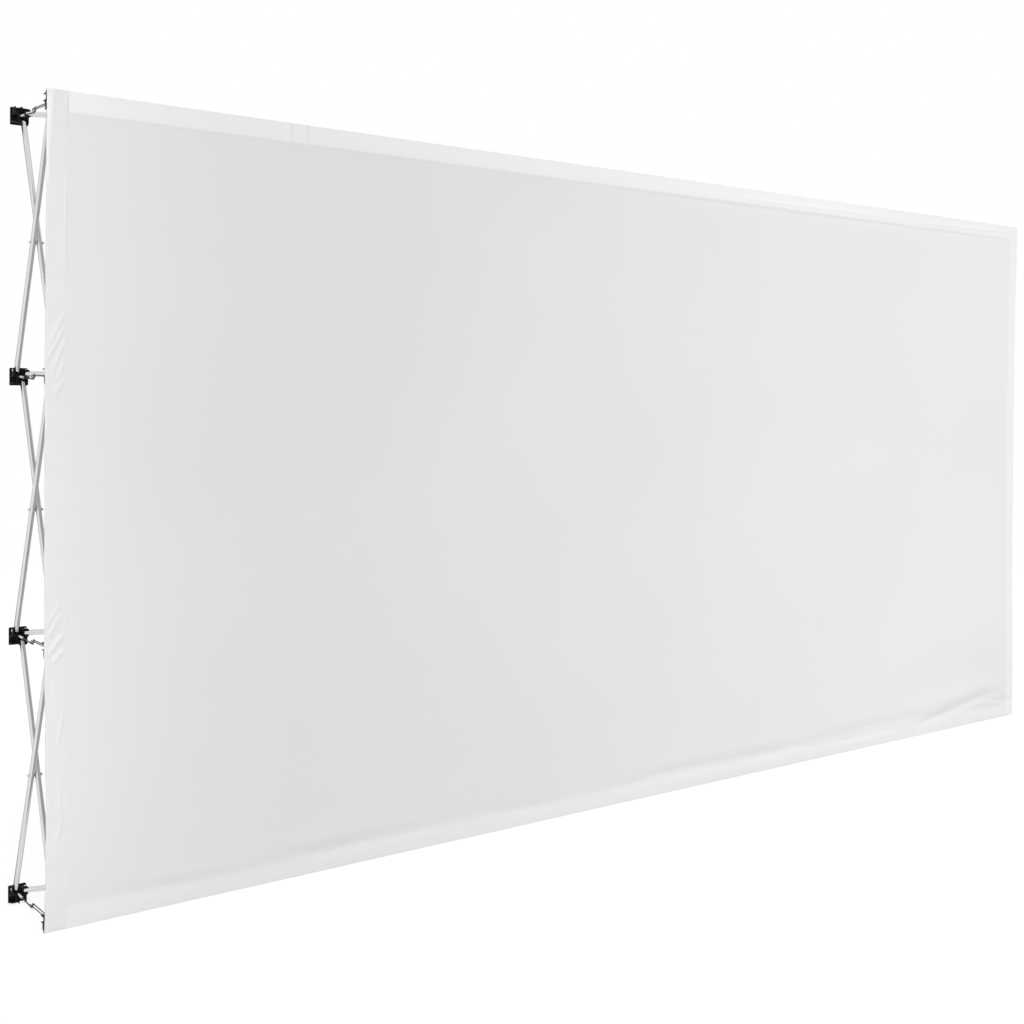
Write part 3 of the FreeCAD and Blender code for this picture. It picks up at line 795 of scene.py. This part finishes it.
def tape_shape(x0, x1, z0, z1):
    cell, fewest = 0.006, 12
    sewn_dip, sewn_inset, sewn_width = 0.0003, 0.0042, 0.0035
    edge_dip, edge_width = 0.0005, 0.0012
    fuzz = 0.00012
    tape_xs = np.linspace(x0, x1, max(round((x1 - x0) / cell), fewest) + 1)
    tape_zs = np.linspace(z0, z1, max(round((z1 - z0) / cell), fewest) + 1)
    gx, gz = np.meshgrid(tape_xs, tape_zs, indexing="ij")
    across = np.minimum(gx - x0, x1 - gx) if x1 - x0 < z1 - z0 else np.minimum(gz - z0, z1 - gz)
    dip = (sewn_dip * np.exp(-((across - sewn_inset) / sewn_width) ** 2)
           + edge_dip * np.exp(-(across / edge_width) ** 2))
    behind = sag(gx, gz)
    top = TAPE_BACK - dip - fuzz * rng.random(gx.shape) + behind
    under = FABRIC_BACK + behind
    points = np.concatenate([np.stack([drawn(gx, gz), y, gz], -1).reshape(-1, 3) for y in (under, top)])
    return points, sheet_faces(*gx.shape).tolist()


TAPE_INSET, TAPE_END_INSET = 0.0045, 0.0025
inner_low, inner_high = BANNER_LOW + TAPE_WIDTH, BANNER_HIGH - TAPE_WIDTH
tape_left, tape_right = TAPE_INSET - BANNER_HALF, BANNER_HALF - TAPE_INSET
TAPES = {
    "loop_tape_top": (tape_left, tape_right, inner_high, BANNER_HIGH - TAPE_END_INSET),
    "loop_tape_bottom": (tape_left, tape_right, BANNER_LOW + TAPE_END_INSET, inner_low),
    "loop_tape_left": (tape_left, TAPE_WIDTH - BANNER_HALF, inner_low, inner_high),
    "loop_tape_right": (BANNER_HALF - TAPE_WIDTH, tape_right, inner_low, inner_high),
}
tapes = [dress(name, tape_shape(*span), LOOP, "banner", smooth_deg=60)
         for name, span in TAPES.items()]


# Hook pads: a woven base with rows of small mushroom hooks

# One hook as (radius, height) pairs
HOOK_PROFILE = [(0.00022, -0.0001), (0.00018, 0.0005), (0.00045, 0.00062), (0.00042, 0.00078),
                (0.0002, 0.0009)]
HOOK_PITCH = 0.0025
HOOKS_PER_SIDE = 13


def pad_shape():
    base_front = PAD_BACK - 0.0007
    outline = []
    corner, ease = 0.003, 0.0002
    for cx, cz, start in ((1, 1, 0), (-1, 1, 1), (-1, -1, 2), (1, -1, 3)):
        for k in range(5):
            angle = (start + k / 4) * math.pi / 2
            outline.append(((PAD_HALF - corner) * cx + corner * math.cos(angle),
                            (PAD_HALF - corner) * cz + corner * math.sin(angle)))
    outline = np.array(outline)
    count = len(outline)
    layers = [(1.0, PAD_BACK), (1.0, base_front + ease), (0.99, base_front)]
    points = [np.stack([outline[:, 0] * s, np.full(count, y), outline[:, 1] * s], 1) for s, y in layers]
    base_faces = ring_faces(0, count, len(layers))
    base_faces.append(tuple(range(count - 1, -1, -1)))
    base_faces.append(tuple(range(2 * count, 3 * count)))
    shapes = [(np.concatenate(points), base_faces)]
    hook = lathe(HOOK_PROFILE, sides=6)
    lean = turn(math.pi / 2, "X")
    spots = (np.arange(HOOKS_PER_SIDE) - HOOKS_PER_SIDE // 2) * HOOK_PITCH
    for x in spots:
        for z in spots:
            shapes.append(moved(hook, at(x, base_front, z) @ lean))
    return merged(shapes)


pads = repeated(pad_shape(), [at(x, 0, z) for x, z in EDGE_HUBS])
dress("hook_pads", pads, HOOK, "frame", smooth_deg=40)


# Floor, light and camera

def seen_directly(tree):
    """1 for camera, glossy and transmission rays, 0 for the rays that light things."""
    path = tree.nodes.new("ShaderNodeLightPath")
    value = path.outputs["Is Camera Ray"]
    for ray in ("Is Glossy Ray", "Is Transmission Ray"):
        either = tree.nodes.new("ShaderNodeMath")
        either.operation = "MAXIMUM"
        tree.links.new(value, either.inputs[0])
        tree.links.new(path.outputs[ray], either.inputs[1])
        value = either.outputs["Value"]
    return value


FLOOR_HALF = 30
FLOOR_BOUNCE, FLOOR_SHADE, FLOOR_GLOW = 0.50, 0.22, 0.82
SKY_LIGHT, SKY_SEEN = 0.46, 1.0


def floor_material():
    """Pale floor that shows white with the part's shadow, and bounces less light than it shows."""
    material = bpy.data.materials.new("studio_floor")
    material.use_nodes = True
    tree = material.node_tree
    tree.nodes.clear()
    plain = tree.nodes.new("ShaderNodeBsdfDiffuse")
    plain.inputs["Color"].default_value = (*grey(FLOOR_BOUNCE), 1)
    shade = tree.nodes.new("ShaderNodeBsdfDiffuse")
    shade.inputs["Color"].default_value = (*grey(FLOOR_SHADE), 1)
    glow = tree.nodes.new("ShaderNodeEmission")
    glow.inputs["Strength"].default_value = FLOOR_GLOW
    both = tree.nodes.new("ShaderNodeAddShader")
    pick = tree.nodes.new("ShaderNodeMixShader")
    out = tree.nodes.new("ShaderNodeOutputMaterial")
    tree.links.new(shade.outputs["BSDF"], both.inputs[0])
    tree.links.new(glow.outputs["Emission"], both.inputs[1])
    tree.links.new(seen_directly(tree), pick.inputs["Fac"])
    tree.links.new(plain.outputs["BSDF"], pick.inputs[1])
    tree.links.new(both.outputs["Shader"], pick.inputs[2])
    tree.links.new(pick.outputs["Shader"], out.inputs["Surface"])
    return material


floor_points = np.array([(-1, -1, 0), (1, -1, 0), (1, 1, 0), (-1, 1, 0)], float) * FLOOR_HALF
floor = make_object("floor", (floor_points, [(0, 1, 2, 3)]), floor_material())

world = bpy.data.worlds.new("studio")
bpy.context.scene.world = world
world.use_nodes = True
sky = world.node_tree
light_sky = sky.nodes["Background"]
light_sky.inputs["Color"].default_value = (1, 1, 1, 1)
light_sky.inputs["Strength"].default_value = SKY_LIGHT
seen_sky = sky.nodes.new("ShaderNodeBackground")
seen_sky.inputs["Color"].default_value = (1, 1, 1, 1)
seen_sky.inputs["Strength"].default_value = SKY_SEEN
choose = sky.nodes.new("ShaderNodeMixShader")
sky.links.new(seen_directly(sky), choose.inputs["Fac"])
sky.links.new(light_sky.outputs["Background"], choose.inputs[1])
sky.links.new(seen_sky.outputs["Background"], choose.inputs[2])
sky.links.new(choose.outputs["Shader"], sky.nodes["World Output"].inputs["Surface"])


def lamp(name, place_at, aim, size, power, spread_deg=180):
    """A soft panel lamp that no mirror-like surface shows."""
    data = bpy.data.lights.new(name, "AREA")
    data.shape = "RECTANGLE"
    data.size, data.size_y = size
    data.energy = power
    data.spread = math.radians(spread_deg)
    made = bpy.data.objects.new(name, data)
    made.location = place_at
    made.visible_camera = False
    made.visible_glossy = False
    made.rotation_euler = (Vector(aim) - Vector(place_at)).to_track_quat("-Z", "Y").to_euler()
    bpy.context.scene.collection.objects.link(made)


lamp("key", (2.1, -5.5, 1.6), (0.9, 0, 1.3), (3.0, 2.4), power=100)
lamp("side", (-2.95, -0.85, 1.2), (-2.32, -0.15, 1.2), (0.4, 2.6), power=1.0, spread_deg=50)
lamp("left", (-5.5, 0.4, 1.6), (-2.25, 0, 1.2), (2.0, 2.4), power=26)
lamp("back", (0.0, 5.0, 4.5), (0, 0, 1.2), (5.0, 3.0), power=70)

overhead_data = bpy.data.lights.new("overhead", "SUN")
overhead_data.energy = 1.42
overhead_data.angle = math.radians(35)
overhead = bpy.data.objects.new("overhead", overhead_data)
overhead.visible_glossy = False
overhead.rotation_euler = Vector((1.2, 4.0, -5.6)).to_track_quat("-Z", "Y").to_euler()
bpy.context.scene.collection.objects.link(overhead)

CAMERA_PLACE = (-3.5792, -3.9938, 1.4453)
YAW, PITCH, ROLL = math.radians(38.954), math.radians(-0.828), math.radians(0.466)
ahead = Vector((math.sin(YAW) * math.cos(PITCH), math.cos(YAW) * math.cos(PITCH), math.sin(PITCH)))
level_right = Vector((math.cos(YAW), -math.sin(YAW), 0))
level_up = level_right.cross(ahead)
right = level_right * math.cos(ROLL) + level_up * math.sin(ROLL)
up = level_up * math.cos(ROLL) - level_right * math.sin(ROLL)
camera_data = bpy.data.cameras.new("camera")
camera_data.sensor_width = 36
camera_data.lens = 50.189
camera_data.shift_x = -0.0469
camera_data.shift_y = -0.0872
camera_data.clip_end = 200
camera = bpy.data.objects.new("camera", camera_data)
axes = Matrix((right, up, -ahead)).transposed().to_4x4()
camera.matrix_world = Matrix.Translation(CAMERA_PLACE) @ axes
bpy.context.scene.collection.objects.link(camera)
bpy.context.scene.camera = camera
bpy.context.scene.view_settings.view_transform = "Standard"
